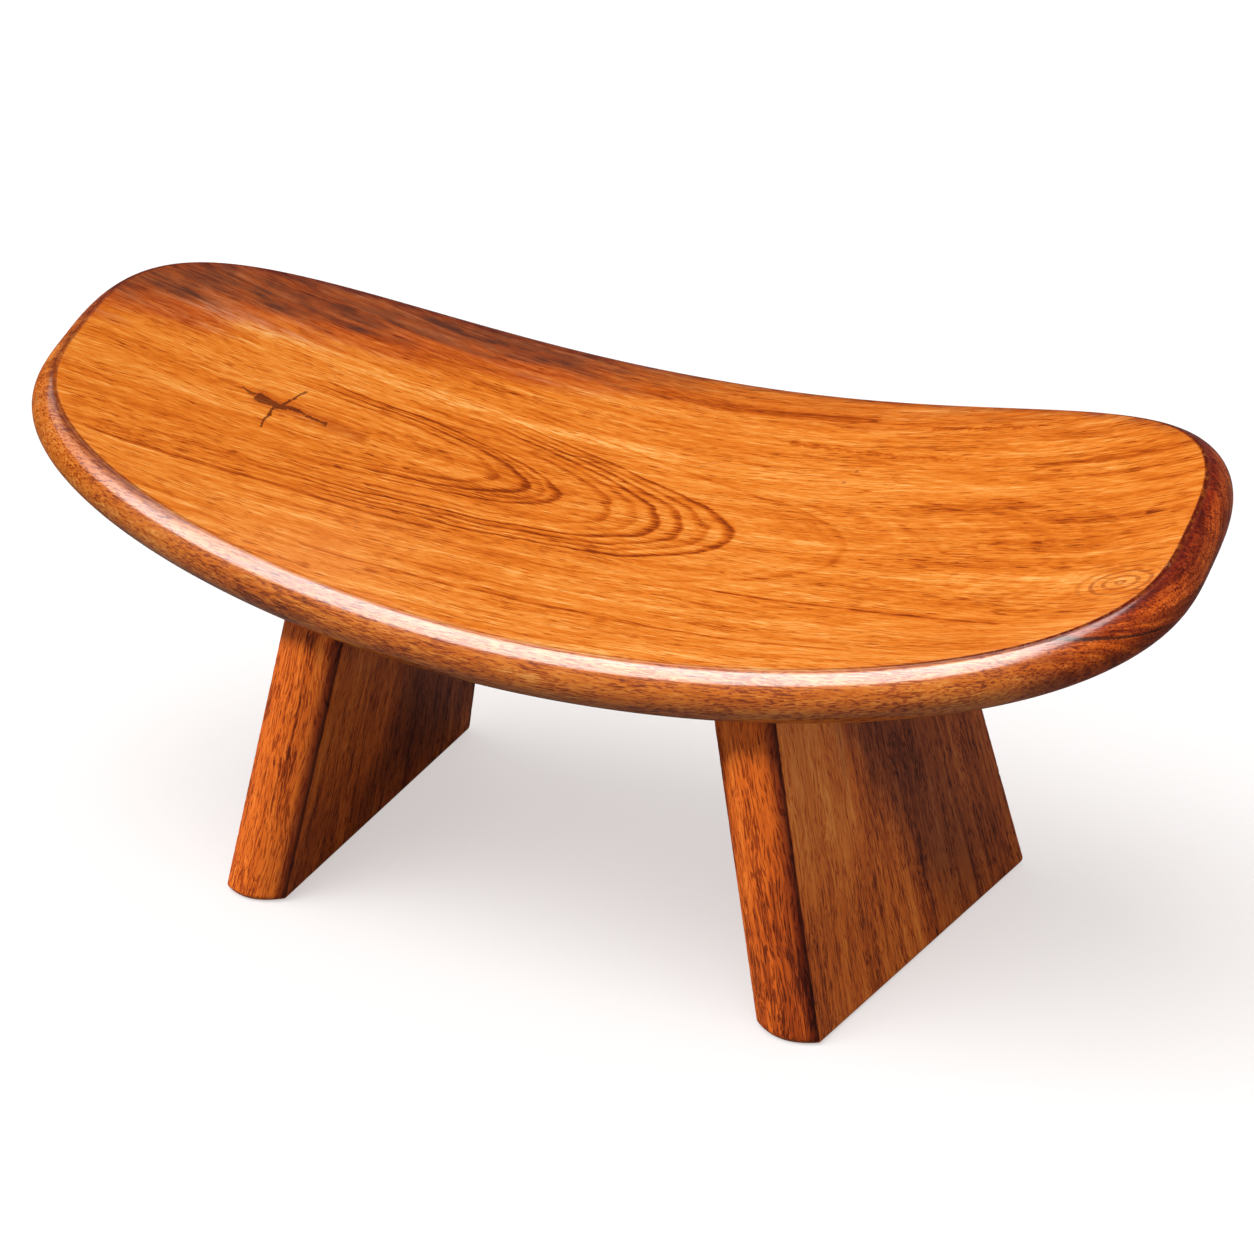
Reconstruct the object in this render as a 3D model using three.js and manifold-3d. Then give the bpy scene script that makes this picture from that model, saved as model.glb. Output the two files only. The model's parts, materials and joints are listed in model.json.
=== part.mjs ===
// A kneeling stool for meditation: one carved hardwood slab on two splayed panel legs.
// Millimetres, +Z up. The lower, front edge of the seat faces -Y, and the origin is on the floor
// under the middle of the stool.
import * as THREE from "three";
import { mergeVertices } from "three/addons/utils/BufferGeometryUtils.js";
import Module from "manifold-3d";

const wasm = await Module();
wasm.setup();
const radians = THREE.MathUtils.degToRad;

// Seat: the outline of its top face, seen from above, measured from its widest line.
const seatHalfLength = 228;
const seatFrontDepth = 70.5;
const seatBackDepth = 93;
const seatEndSweep = 8.3; // how far the two ends sit ahead of the middle
const seatEndFullness = 1.83; // 2 is an ellipse's end, more is squarer
const seatSideFullness = 3.06; // the same for the long front and back edges

// Seat: its height and its hollow.
const seatHeight = 152.3; // floor to the lowest point of the widest line
const saddleRise = 46; // the ends stand this much above the middle
const seatPitch = radians(15.6); // it falls towards the front
const seatEndPitch = radians(24.9); // and falls more steeply at the two ends
const seatThickness = 20.4;

// Seat: the rounded edge that runs all the way round.
const edgeSwell = 9.7; // how far it stands out beyond the faces
const edgeCrease = radians(11); // the angle at which it meets the top, a crisp line

// Legs: two like panels.
const legThickness = 26.2;
const footDepth = 164;
const footSpacing = 241.4; // between the middles of the two feet
const footSetBack = 9.9; // of the foot's middle behind the seat's widest line
const legSplay = radians(12.7); // each leg leans in towards the seat's middle
const legToe = radians(4.6); // the panels open towards the back
const frontLean = radians(5);
const backLean = radians(10.4);
const legEdgeBulge = 5; // roundness of the panel's front and back edges
const footRound = 2.9; // softened edge all round the foot

// Dowels: three in each leg, glued in blind holes.
const dowelDiameter = 10;
const dowelLength = 38;
const dowelInSeat = 11;
const dowelChamfer = 1;
const dowelPitch = 42; // from one dowel to the next along the leg's top

// Clearances.
const jointGap = 0.3; // glue line between a leg's top and the seat
const dowelGap = 0.2; // all round a dowel
const holeEndGap = 1; // past each end of a dowel

// How finely the curves are cut into flats.
const outlineSteps = 96;
const faceRings = 7;
const edgeSteps = 8;
const legArcSteps = 8;
const footRoundSteps = 3;
const dowelSteps = 20;

const seatWood = new THREE.MeshStandardMaterial({
  name: "seat wood",
  color: 0xc8722e,
  roughness: 0.32,
  metalness: 0,
});
const legWood = new THREE.MeshStandardMaterial({
  name: "leg wood",
  color: 0x8f4a24,
  roughness: 0.36,
  metalness: 0,
});
const dowelWood = new THREE.MeshStandardMaterial({
  name: "dowel wood",
  color: 0xc9a36c,
  roughness: 0.7,
  metalness: 0,
});

function solidOf(geometry) {
  const bare = geometry.clone();
  bare.deleteAttribute("normal");
  bare.deleteAttribute("uv");
  const merged = mergeVertices(bare, 1e-3);
  const mesh = new wasm.Mesh({
    numProp: 3,
    vertProperties: merged.attributes.position.array,
    triVerts: new Uint32Array(merged.index.array),
  });
  return new wasm.Manifold(mesh);
}

function geometryOf(solid) {
  const mesh = solid.getMesh();
  const geometry = new THREE.BufferGeometry();
  geometry.setAttribute("position", new THREE.BufferAttribute(mesh.vertProperties, 3));
  geometry.setIndex(new THREE.BufferAttribute(mesh.triVerts, 1));
  const flat = geometry.toNonIndexed();
  flat.computeVertexNormals();
  return flat;
}

// Moves each vertex of a geometry by a rule: place(point) changes the point it is given.
function warp(geometry, place) {
  const positions = geometry.attributes.position;
  const point = new THREE.Vector3();
  for (let i = 0; i < positions.count; i++) {
    point.fromBufferAttribute(positions, i);
    place(point);
    positions.setXYZ(i, point.x, point.y, point.z);
  }
  return geometry;
}

// The edge of the seat's top face from above: a superellipse whose front is shallower than its
// back, with both ends swept a little forwards. The curve runs once round from the right end.
class SeatOutline extends THREE.Curve {
  getPoint(t, point = new THREE.Vector2()) {
    const across = Math.cos(2 * Math.PI * t);
    const along = Math.sin(2 * Math.PI * t);
    const reach = Math.abs(across) ** seatEndFullness + Math.abs(along) ** seatSideFullness;
    const end = across / reach ** (1 / seatEndFullness);
    const side = along / reach ** (1 / seatSideFullness);
    const depth = along < 0 ? seatFrontDepth : seatBackDepth;
    return point.set(seatHalfLength * end, depth * side - seatEndSweep * end ** 2);
  }
}

const seatOutline = new SeatOutline();

// Height of the seat's top face over a point of the floor.
function saddle(x, y) {
  const reach = (x / seatHalfLength) ** 2;
  const slope = Math.tan(seatPitch) * (1 - reach) + Math.tan(seatEndPitch) * reach;
  return seatHeight + saddleRise * reach + y * slope;
}

// Profile of the seat as a round disc: underside, rounded edge, top. The faces end at a radius
// of 1, and what is past that is how far the edge stands out. Heights are from the top face.
function discProfile(raise) {
  const profile = [];
  const crease = Math.sin(edgeCrease);
  for (let i = 0; i < faceRings; i++) {
    profile.push(new THREE.Vector2(i / faceRings, -seatThickness));
  }
  for (let i = 0; i <= edgeSteps; i++) {
    const angle = (Math.PI / 2 - edgeCrease) * ((2 * i) / edgeSteps - 1);
    const swell = (edgeSwell * (Math.cos(angle) - crease)) / (1 - crease);
    const height = (seatThickness / 2) * (Math.sin(angle) / Math.cos(edgeCrease) - 1);
    profile.push(new THREE.Vector2(1 + swell, height + (angle > 0 ? raise : 0)));
  }
  for (let i = faceRings - 1; i >= 0; i--) {
    profile.push(new THREE.Vector2(i / faceRings, raise));
  }
  return profile;
}

// The seat's slab: a disc turned from its profile, stretched to the outline and bent into the
// saddle. With a raise, its top lies that much higher and its underside stays.
function seatSlab(raise = 0) {
  const disc = new THREE.LatheGeometry(discProfile(raise), outlineSteps).rotateX(Math.PI / 2);
  return warp(disc, (point) => {
    const radius = Math.hypot(point.x, point.y);
    const turn = Math.atan2(point.y, point.x) / (2 * Math.PI);
    const t = (turn + 1) % 1;
    const inward = Math.min(radius, 1);
    const outward = Math.max(radius - 1, 0);
    const rim = seatOutline.getPoint(t).multiplyScalar(inward);
    const tangent = seatOutline.getTangent(t);
    point.x = rim.x + outward * tangent.y;
    point.y = rim.y - outward * tangent.x;
    point.z += saddle(rim.x, rim.y);
  });
}

// A leg's blank, upright on the floor in the leg's own frame: the panel's level section, with
// its two rounded edges, drawn up and tapered. It is taller than the leg and is cut to the seat.
// side is 1 for the right leg and -1 for the left.
function legBlank(side, height) {
  const halfThickness = legThickness / 2;
  const halfDepth = footDepth / 2;
  const section = new THREE.Shape();
  section.moveTo(-halfThickness, -halfDepth);
  section.quadraticCurveTo(0, -halfDepth - 2 * legEdgeBulge, halfThickness, -halfDepth);
  section.lineTo(halfThickness, halfDepth);
  section.quadraticCurveTo(0, halfDepth + 2 * legEdgeBulge, -halfThickness, halfDepth);
  section.closePath();
  const panel = new THREE.ExtrudeGeometry(section, {
    depth: height - 2 * footRound,
    curveSegments: legArcSteps,
    bevelThickness: footRound,
    bevelSize: footRound,
    bevelOffset: -footRound,
    bevelSegments: footRoundSteps,
  });
  panel.translate(0, 0, footRound);
  return warp(panel, (point) => {
    const lean = point.y < 0 ? Math.tan(frontLean) : -Math.tan(backLean);
    point.y += point.z * lean;
    point.x -= side * point.z * Math.tan(legSplay);
  });
}

// Where a dowel crosses the joint, in the leg's own frame: on the leg's middle plane, at the
// height where the seat's underside meets it.
function jointPoint(legFrame, side, y) {
  const point = new THREE.Vector3(0, y, seatHeight);
  for (let i = 0; i < 6; i++) {
    point.x = -side * point.z * Math.tan(legSplay);
    const onFloor = point.clone().applyMatrix4(legFrame);
    point.z = saddle(onFloor.x, onFloor.y) - seatThickness;
  }
  return point;
}

// A round pin along Z, centred on its own middle, with chamfered ends.
function pin(diameter, length, chamfer) {
  const radius = diameter / 2;
  const half = length / 2;
  const profile = [
    new THREE.Vector2(0, -half),
    new THREE.Vector2(radius - chamfer, -half),
    new THREE.Vector2(radius, -half + chamfer),
    new THREE.Vector2(radius, half - chamfer),
    new THREE.Vector2(radius - chamfer, half),
    new THREE.Vector2(0, half),
  ];
  return new THREE.LatheGeometry(profile, dowelSteps).rotateX(Math.PI / 2);
}

const dowelHole = pin(dowelDiameter + 2 * dowelGap, dowelLength + 2 * holeEndGap, dowelChamfer);
const legBlankHeight = saddle(seatHalfLength, seatBackDepth);
const legTopMiddle = ((Math.tan(frontLean) - Math.tan(backLean)) * seatHeight) / 2;

// One leg with its three dowels, in a group that stands where the foot does. Returns the group
// and the holes that its dowels need in the seat.
function buildLeg(side, sideName) {
  const group = new THREE.Group();
  group.position.set((side * footSpacing) / 2, footSetBack, 0);
  group.rotation.z = -side * legToe;
  group.updateMatrixWorld(true);

  const overhead = seatSlab(legBlankHeight).translate(0, 0, -jointGap);
  overhead.applyMatrix4(group.matrixWorld.clone().invert());
  let leg = solidOf(legBlank(side, legBlankHeight)).subtract(solidOf(overhead));

  const seatHoles = [];
  ["front", "middle", "back"].forEach((place, index) => {
    const dowel = new THREE.Mesh(pin(dowelDiameter, dowelLength, dowelChamfer), dowelWood);
    dowel.name = `dowel_${sideName}_${place}`;
    dowel.rotation.y = -side * legSplay;
    const joint = jointPoint(group.matrixWorld, side, legTopMiddle + (index - 1) * dowelPitch);
    const axis = new THREE.Vector3(0, 0, 1).applyEuler(dowel.rotation);
    dowel.position.copy(joint).addScaledVector(axis, dowelInSeat - dowelLength / 2);
    group.add(dowel);
    dowel.updateMatrixWorld(true);
    leg = leg.subtract(solidOf(dowelHole.clone().applyMatrix4(dowel.matrix)));
    seatHoles.push(solidOf(dowelHole.clone().applyMatrix4(dowel.matrixWorld)));
  });

  const legMesh = new THREE.Mesh(geometryOf(leg), legWood);
  legMesh.name = `leg_${sideName}`;
  group.add(legMesh);
  return { group, seatHoles };
}

const rightLeg = buildLeg(1, "right");
const leftLeg = buildLeg(-1, "left");

let seatSolid = solidOf(seatSlab());
for (const hole of [...rightLeg.seatHoles, ...leftLeg.seatHoles]) {
  seatSolid = seatSolid.subtract(hole);
}
const seat = new THREE.Mesh(geometryOf(seatSolid), seatWood);
seat.name = "seat";

const stool = new THREE.Group();
stool.add(seat, rightLeg.group, leftLeg.group);

// The pieces are laid out from the seat's widest line, and the stool then moves so that the
// origin is under its middle.
const extent = new THREE.Box3().setFromObject(stool, true);
stool.position.y = -(extent.min.y + extent.max.y) / 2;

const group = new THREE.Group();
group.add(stool);
export default group;
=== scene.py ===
import math

import bmesh
import bpy
import numpy as np
from mathutils import Matrix, Vector, noise as wander_noise
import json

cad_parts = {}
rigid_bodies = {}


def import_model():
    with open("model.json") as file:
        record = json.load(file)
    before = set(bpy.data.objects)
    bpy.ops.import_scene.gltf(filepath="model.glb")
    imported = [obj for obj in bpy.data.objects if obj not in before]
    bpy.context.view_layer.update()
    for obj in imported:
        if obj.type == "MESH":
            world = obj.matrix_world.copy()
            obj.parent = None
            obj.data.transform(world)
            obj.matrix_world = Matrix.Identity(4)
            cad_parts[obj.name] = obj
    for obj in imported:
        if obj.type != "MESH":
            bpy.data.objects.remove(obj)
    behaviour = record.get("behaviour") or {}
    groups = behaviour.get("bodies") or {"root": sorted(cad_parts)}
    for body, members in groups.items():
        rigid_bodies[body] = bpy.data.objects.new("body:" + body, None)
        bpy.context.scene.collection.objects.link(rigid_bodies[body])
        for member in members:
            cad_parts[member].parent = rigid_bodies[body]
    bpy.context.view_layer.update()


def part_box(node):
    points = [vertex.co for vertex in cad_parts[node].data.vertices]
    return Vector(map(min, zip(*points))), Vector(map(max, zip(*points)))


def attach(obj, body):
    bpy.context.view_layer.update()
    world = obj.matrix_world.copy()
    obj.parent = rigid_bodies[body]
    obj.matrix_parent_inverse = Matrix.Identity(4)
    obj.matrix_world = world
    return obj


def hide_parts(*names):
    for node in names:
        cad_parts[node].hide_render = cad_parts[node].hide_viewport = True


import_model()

# The seat: one slab of figured hardwood, hollowed to a saddle and tipped down to the front. Its
# edge is moulded to a half round that leaves a fine step under the top face, where the fibres
# are a little torn. Each end is rounded in plan, and the whole is oiled and buffed.
seat_half_length = 0.228
seat_front_depth = 0.0705
seat_back_depth = 0.093
seat_end_sweep = 0.0083
seat_end_fullness = 1.83
seat_side_fullness = 3.06
seat_height = 0.1523
saddle_rise = 0.046
seat_pitch = math.radians(15.6)
seat_end_pitch = math.radians(24.9)
seat_thickness = 0.0204
edge_swell = 0.0097
edge_crease = math.radians(11)
edge_step = 0.00025  # how far the moulding lies below the top face
face_share = 0.997  # how much of the way out the top face is plain
seat_line_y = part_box("seat")[1].y - seat_back_depth - edge_swell  # the seat's widest line

seat_steps = 640  # round the outline
top_rings = 30
underside_rings = 12
edge_rings = 28
rim_nudge = 0.0005  # of a turn to either side, to find which way the rim runs
weld_distance = 1e-6


def node(tree, kind, *values, **settings):
    """A new node. Settings are its own, and the values go to its inputs in order."""
    made = tree.nodes.new(kind)
    for name, setting in settings.items():
        setattr(made, name, setting)
    for socket, given in zip([s for s in made.inputs if s.enabled], values):
        if isinstance(given, bpy.types.NodeSocket):
            link(given, socket)
        else:
            socket.default_value = given
    return made


def link(given, socket):
    given.id_data.links.new(given, socket)


def fed(kind, *values, **settings):
    """A new node in the tree that its values come from."""
    sockets = [given for given in values if isinstance(given, bpy.types.NodeSocket)]
    return node(sockets[0].id_data, kind, *values, **settings)


def value(operation, *values):
    return fed("ShaderNodeMath", *values, operation=operation).outputs[0]


def plus(*terms):
    total = terms[0]
    for term in terms[1:]:
        total = value("ADD", total, term)
    return total


def times(*terms):
    total = terms[0]
    for term in terms[1:]:
        total = value("MULTIPLY", total, term)
    return total


def less(first, second):
    return value("SUBTRACT", first, second)


def vector(operation, *values):
    return fed("ShaderNodeVectorMath", *values, operation=operation).outputs[0]


def measure(operation, *values):
    """What a vector operation gives as one value, such as a length."""
    return fed("ShaderNodeVectorMath", *values, operation=operation).outputs["Value"]


def xyz(x, y, z):
    return fed("ShaderNodeCombineXYZ", x, y, z).outputs[0]


def parts_of(point):
    return fed("ShaderNodeSeparateXYZ", point).outputs


def new_group(kind, name, inputs, outputs):
    """An empty node group. Each input is named with its value, or with its type if it has none,
    and each output with its type. Returns the group, its given sockets and its result sockets."""
    tree = bpy.data.node_groups.new(name, kind)
    for label, start in inputs.items():
        sort = start if isinstance(start, str) else type(start).__name__.capitalize()
        socket = tree.interface.new_socket(label, in_out="INPUT", socket_type="NodeSocket" + sort)
        if sort != start:
            socket.default_value = start
    for label, sort in outputs.items():
        tree.interface.new_socket(label, in_out="OUTPUT", socket_type="NodeSocket" + sort)
    return tree, tree.nodes.new("NodeGroupInput").outputs, tree.nodes.new("NodeGroupOutput").inputs


def swept(tree, profile, steps):
    """A grid with a row for each point of a profile and a column for each step of a turn round
    it. Returns the grid, each point's share of the turn and its place on the profile."""
    columns = plus(steps, 1.0)
    count = fed("GeometryNodeAttributeDomainSize", profile, component="MESH")
    grid = fed("GeometryNodeMeshGrid", 1.0, 1.0, count.outputs["Point Count"], columns)
    index = node(tree, "GeometryNodeInputIndex").outputs[0]
    row = value("FLOOR", value("DIVIDE", plus(index, 0.5), columns))
    column = less(index, times(row, columns))
    position = node(tree, "GeometryNodeInputPosition").outputs[0]
    sampled = node(tree, "GeometryNodeSampleIndex", data_type="FLOAT_VECTOR", domain="POINT")
    link(profile, sampled.inputs["Geometry"])
    link(position, sampled.inputs["Value"])
    link(row, sampled.inputs["Index"])
    turn = value("DIVIDE", column, steps)
    return grid.outputs["Mesh"], turn, parts_of(sampled.outputs[0])


def stored(geometry, name, given):
    """The geometry with a vector kept at each point under that name."""
    kept = fed("GeometryNodeStoreNamedAttribute", geometry)
    kept.data_type, kept.domain = "FLOAT_VECTOR", "POINT"
    kept.inputs["Name"].default_value = name
    link(given, kept.inputs["Value"])
    return kept.outputs[0]


def closed_skin(geometry, position, material):
    """The grid moved into place, its seam and poles closed, smooth and painted."""
    moved = fed("GeometryNodeSetPosition", geometry)
    link(position, moved.inputs["Position"])
    closed = fed("GeometryNodeMergeByDistance", moved.outputs[0])
    closed.inputs["Distance"].default_value = weld_distance
    outward = fed("GeometryNodeFlipFaces", closed.outputs[0])
    smooth = fed("GeometryNodeSetShadeSmooth", outward.outputs[0])
    realized = fed("GeometryNodeRealizeInstances", smooth.outputs[0])
    painted = fed("GeometryNodeSetMaterial", realized.outputs[0])
    link(material, painted.inputs["Material"])
    return painted.outputs[0]


def outline_group():
    """The edge of the top face from above: the point that lies that share of a turn round it."""
    sizes = {
        "Half length": seat_half_length,
        "Front depth": seat_front_depth,
        "Back depth": seat_back_depth,
        "End sweep": seat_end_sweep,
        "End fullness": seat_end_fullness,
        "Side fullness": seat_side_fullness,
    }
    tree, size, made = new_group(
        "GeometryNodeTree", "Seat outline", {"Turn": 0.0, **sizes}, {"Point": "Vector"}
    )
    angle = times(size["Turn"], 2 * math.pi)
    across = value("COSINE", angle)
    along = value("SINE", angle)
    to_end = value("POWER", value("ABSOLUTE", across), size["End fullness"])
    to_side = value("POWER", value("ABSOLUTE", along), size["Side fullness"])
    reach = plus(to_end, to_side)
    end_reach = value("POWER", reach, value("DIVIDE", 1.0, size["End fullness"]))
    side_reach = value("POWER", reach, value("DIVIDE", 1.0, size["Side fullness"]))
    end = value("DIVIDE", across, end_reach)
    side = value("DIVIDE", along, side_reach)
    at_front = value("LESS_THAN", along, 0.0)
    extra = less(size["Front depth"], size["Back depth"])
    depth = value("MULTIPLY_ADD", at_front, extra, size["Back depth"])
    sweep = times(size["End sweep"], times(end, end))
    x = times(size["Half length"], end)
    y = less(times(depth, side), sweep)
    link(xyz(x, y, 0.0), made["Point"])
    return tree, sizes


def slab_group():
    """Sweeps a profile round the seat's outline and bends it into the saddle. The profile's
    points hold the share of the way out to the outline, how far past it they stand, and their
    height from the top face."""
    outline, sizes = outline_group()
    tree, size, made = new_group(
        "GeometryNodeTree",
        "Seat slab",
        {"Profile": "Geometry", **sizes, "Widest line": seat_line_y, "Height": seat_height,
         "Saddle rise": saddle_rise, "Pitch": seat_pitch, "End pitch": seat_end_pitch,
         "Steps": seat_steps, "Material": "Material"},
        {"Slab": "Geometry"},
    )
    grid, turn, (inward, outward, height) = swept(tree, size["Profile"], size["Steps"])

    def rim_point(offset):
        placed = node(tree, "GeometryNodeGroup", node_tree=outline)
        link(plus(turn, offset), placed.inputs["Turn"])
        for name in sizes:
            link(size[name], placed.inputs[name])
        return placed.outputs["Point"]

    rim = rim_point(0.0)
    run = vector("SUBTRACT", rim_point(rim_nudge), rim_point(-rim_nudge))
    run_x, run_y, _ = parts_of(vector("NORMALIZE", run))
    rim_x, rim_y, _ = parts_of(rim)
    face_x = times(rim_x, inward)
    face_y = times(rim_y, inward)
    x = value("MULTIPLY_ADD", outward, run_y, face_x)
    y = less(face_y, times(outward, run_x))
    reach = value("DIVIDE", face_x, size["Half length"])
    reach = times(reach, reach)
    dip = times(size["Saddle rise"], reach)
    slope = value("TANGENT", size["Pitch"])
    steeper = less(value("TANGENT", size["End pitch"]), slope)
    slope = plus(slope, times(steeper, reach))
    fall = times(face_y, slope)
    face_z = plus(plus(size["Height"], dip), fall)
    y = plus(y, size["Widest line"])
    z = plus(face_z, height)

    grid = stored(grid, "board", xyz(x, y, height))
    grid = stored(grid, "reach", xyz(inward, outward, 0.0))
    skin = closed_skin(grid, xyz(x, y, z), size["Material"])
    link(skin, made["Slab"])
    return tree


def in_scene(name, data):
    made = bpy.data.objects.new(name, data)
    bpy.context.scene.collection.objects.link(made)
    return made


def mesh_object(name, points, faces=(), edges=()):
    mesh = bpy.data.meshes.new(name)
    mesh.from_pydata([tuple(p) for p in points], edges, faces)
    return in_scene(name, mesh)


def profile_object(name, points):
    return mesh_object(name, points, edges=[(i, i + 1) for i in range(len(points) - 1)])


def seat_profile():
    """The slab's section from the middle of the underside, round the edge, to the middle of the
    top: share of the way out, stand-out past the outline, height from the top face."""
    points = [(i / underside_rings, 0.0, -seat_thickness) for i in range(underside_rings)]
    crease = math.sin(edge_crease)
    for i in range(edge_rings + 1):
        angle = (math.pi / 2 - edge_crease) * (2 * i / edge_rings - 1)
        swell = edge_swell * (math.cos(angle) - crease) / (1 - crease)
        height = seat_thickness / 2 * (math.sin(angle) / math.cos(edge_crease) - 1)
        under_step = max(math.sin(angle), 0.0) ** 3
        points.append((1.0, swell, height - edge_step * under_step))
    points.append((1.0, 0.0, -edge_step * 0.45))  # the lip of the step, slightly broken
    points.append((0.9995, 0.0, -edge_step * 0.1))
    points.append((face_share, 0.0, 0.0))
    for i in range(1, top_rings + 1):
        inward = 1 - (i / top_rings) ** 1.15  # closer together near the rim
        points.append((inward * face_share, 0.0, 0.0))
    return points


def modifier_inputs(modifier, **given):
    """Sets a Geometry Nodes modifier's inputs by their names."""
    for item in modifier.node_group.interface.items_tree:
        if item.item_type == "SOCKET" and item.in_out == "INPUT" and item.name in given:
            modifier[item.identifier] = given[item.name]


def as_plain_mesh(source, name):
    """The evaluated object as a plain mesh of its own wood, without its modifiers."""
    graph = bpy.context.evaluated_depsgraph_get()
    mesh = bpy.data.meshes.new_from_object(source.evaluated_get(graph), depsgraph=graph)
    wood = [material for material in mesh.materials if material][0]
    mesh.materials.clear()
    mesh.materials.append(wood)
    mesh.polygons.foreach_set("material_index", [0] * len(mesh.polygons))
    source.modifiers.clear()
    old = source.data
    source.data = mesh
    bpy.data.meshes.remove(old)
    mesh.name = source.name = name
    return source


def mix(factor, first, second, blend="MIX"):
    given = [(*each, 1.0) if isinstance(each, tuple) else each for each in (factor, first, second)]
    made = fed("ShaderNodeMix", *given, data_type="RGBA", blend_type=blend)
    return [socket for socket in made.outputs if socket.enabled][0]


def noise(place, detail=2.0, roughness=0.5, distortion=0.0):
    """Noise about one unit wide, from 0 to 1, at a place that is already scaled."""
    made = fed("ShaderNodeTexNoise", place, 1.0, detail, roughness, 2.0, distortion)
    return made.outputs[0]


def between(given, low, high, start=0.0, end=1.0):
    """Goes smoothly from start to end as what is given goes from low to high."""
    limits = (low, high, start, end)
    return fed("ShaderNodeMapRange", given, *limits, interpolation_type="SMOOTHSTEP").outputs[0]


def stretched(place, along, across):
    """A place measured in grain lengths and widths, for noise that follows the grain."""
    return vector("MULTIPLY", place, (1 / along, 1 / across, 1 / across))


def swing(given, amount):
    """Noise turned into a change of up to about that amount either way."""
    return times(less(given, 0.5), 4 * amount)


def drift(place, along, across, amount, detail=2.0, roughness=0.5):
    """Slow wandering by up to about that amount either way, stretched along the grain."""
    return swing(noise(stretched(place, along, across), detail, roughness), amount)


def mix_value(factor, first, second):
    """The first value where the factor is 0 and the second where it is 1."""
    return plus(first, times(less(second, first), factor))


def most(*masks):
    """Where any of the masks is, as far as the strongest of them."""
    total = masks[0]
    for mask in masks[1:]:
        total = value("MAXIMUM", total, mask)
    return total


def tinted(factor, wood, tint):
    """The wood's colour multiplied by a tint, as far as the factor goes."""
    return mix(factor, wood, tint, "MULTIPLY")


def named_place(tree, name):
    return node(tree, "ShaderNodeAttribute", attribute_name=name).outputs["Vector"]


def in_group(group, places, **values):
    """A shader group placed in a material: its linked inputs by name and its values by name."""
    made = node(next(iter(places.values())).id_data, "ShaderNodeGroup", node_tree=group)
    for name, given in places.items():
        link(given, made.inputs[name])
    for name, given in values.items():
        made.inputs[name.replace("_", " ").capitalize()].default_value = given
    return made.outputs


def new_shader(name):
    """A new material, its node tree and its shader's inputs."""
    material = bpy.data.materials.new(name)
    material.use_nodes = True
    return material, material.node_tree, material.node_tree.nodes["Principled BSDF"].inputs


relief_depth = 0.0002


def bumped(relief, strength, shader):
    """Shades a surface as if it had that relief."""
    bump = node(relief.id_data, "ShaderNodeBump", strength, relief_depth)
    link(relief, bump.inputs["Height"])
    link(bump.outputs[0], shader["Normal"])


def wood_grain_group():
    """Lines and pores that run along X of the place they are given, and lie Y across it."""
    tree, put, made = new_group(
        "ShaderNodeTree",
        "Wood grain",
        {"Place": "Vector", "Fibre length": 0.015, "Fibre width": 0.0008, "Pore length": 0.0055,
         "Pore width": 0.00050, "Pore share": 0.38},
        {"Bands": "Float", "Streaks": "Float", "Fibres": "Float", "Pores": "Float"},
    )

    def scaled(length, length_times, width, width_times, seed):
        along = value("DIVIDE", 1 / length_times, length)
        across = value("DIVIDE", 1 / width_times, width)
        scale = xyz(along, across, across)
        return vector("ADD", vector("MULTIPLY", put["Place"], scale), (seed,) * 3)

    fibre = (put["Fibre length"], put["Fibre width"])
    pore = (put["Pore length"], put["Pore width"])
    bands = noise(scaled(fibre[0], 8.0, fibre[1], 11.0, 3.1), 2.0, 0.55)
    streaks = noise(scaled(fibre[0], 3.6, fibre[1], 3.0, 17.3), 3.0, 0.6)
    fibres = noise(scaled(fibre[0], 1.0, fibre[1], 1.0, 41.7), 3.0, 0.65)
    pore_noise = noise(scaled(pore[0], 1.0, pore[1], 1.0, 71.9), 1.5, 0.5)
    crowd = noise(scaled(pore[0], 5.0, pore[1], 12.0, 5.5), 1.0, 0.5)
    level = less(0.80, times(put["Pore share"], 0.55))
    level = plus(level, times(less(0.5, crowd), 0.32))
    pores = between(less(pore_noise, level), 0.0, 0.06)
    for socket, result in zip(made, (bands, streaks, fibres, pores)):
        link(result, socket)
    return tree


def drawn_line_group():
    """A wandering line between two points, thinner towards its end."""
    tree, put, made = new_group(
        "ShaderNodeTree",
        "Drawn line",
        {"Place": "Vector", "Start": "Vector", "End": "Vector", "Width": 0.001,
         "Softness": 0.0004, "Wander": 0.0006},
        {"Mask": "Float"},
    )
    shake = fed("ShaderNodeTexNoise", put["Place"], 220.0, 2.0, 0.6, 2.0, 0.0)
    shake = vector("SUBTRACT", shake.outputs["Color"], (0.5, 0.5, 0.5))
    shift = fed("ShaderNodeVectorMath", shake, operation="SCALE")
    link(times(put["Wander"], 4.0), shift.inputs["Scale"])
    place = vector("ADD", put["Place"], shift.outputs[0])
    run = vector("SUBTRACT", put["End"], put["Start"])
    lead = vector("SUBTRACT", place, put["Start"])
    along = measure("DOT_PRODUCT", lead, run)
    length = measure("DOT_PRODUCT", run, run)
    share = fed("ShaderNodeMath", along, length, operation="DIVIDE", use_clamp=True).outputs[0]
    nearest = fed("ShaderNodeVectorMath", run, operation="SCALE")
    link(share, nearest.inputs["Scale"])
    apart = measure("DISTANCE", lead, nearest.outputs[0])
    half = times(put["Width"], less(1.0, times(share, 0.7)), 0.5)
    beyond = value("DIVIDE", less(apart, half), put["Softness"])
    link(between(beyond, 0.0, 1.0, 1.0, 0.0), made["Mask"])
    return tree


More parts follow.
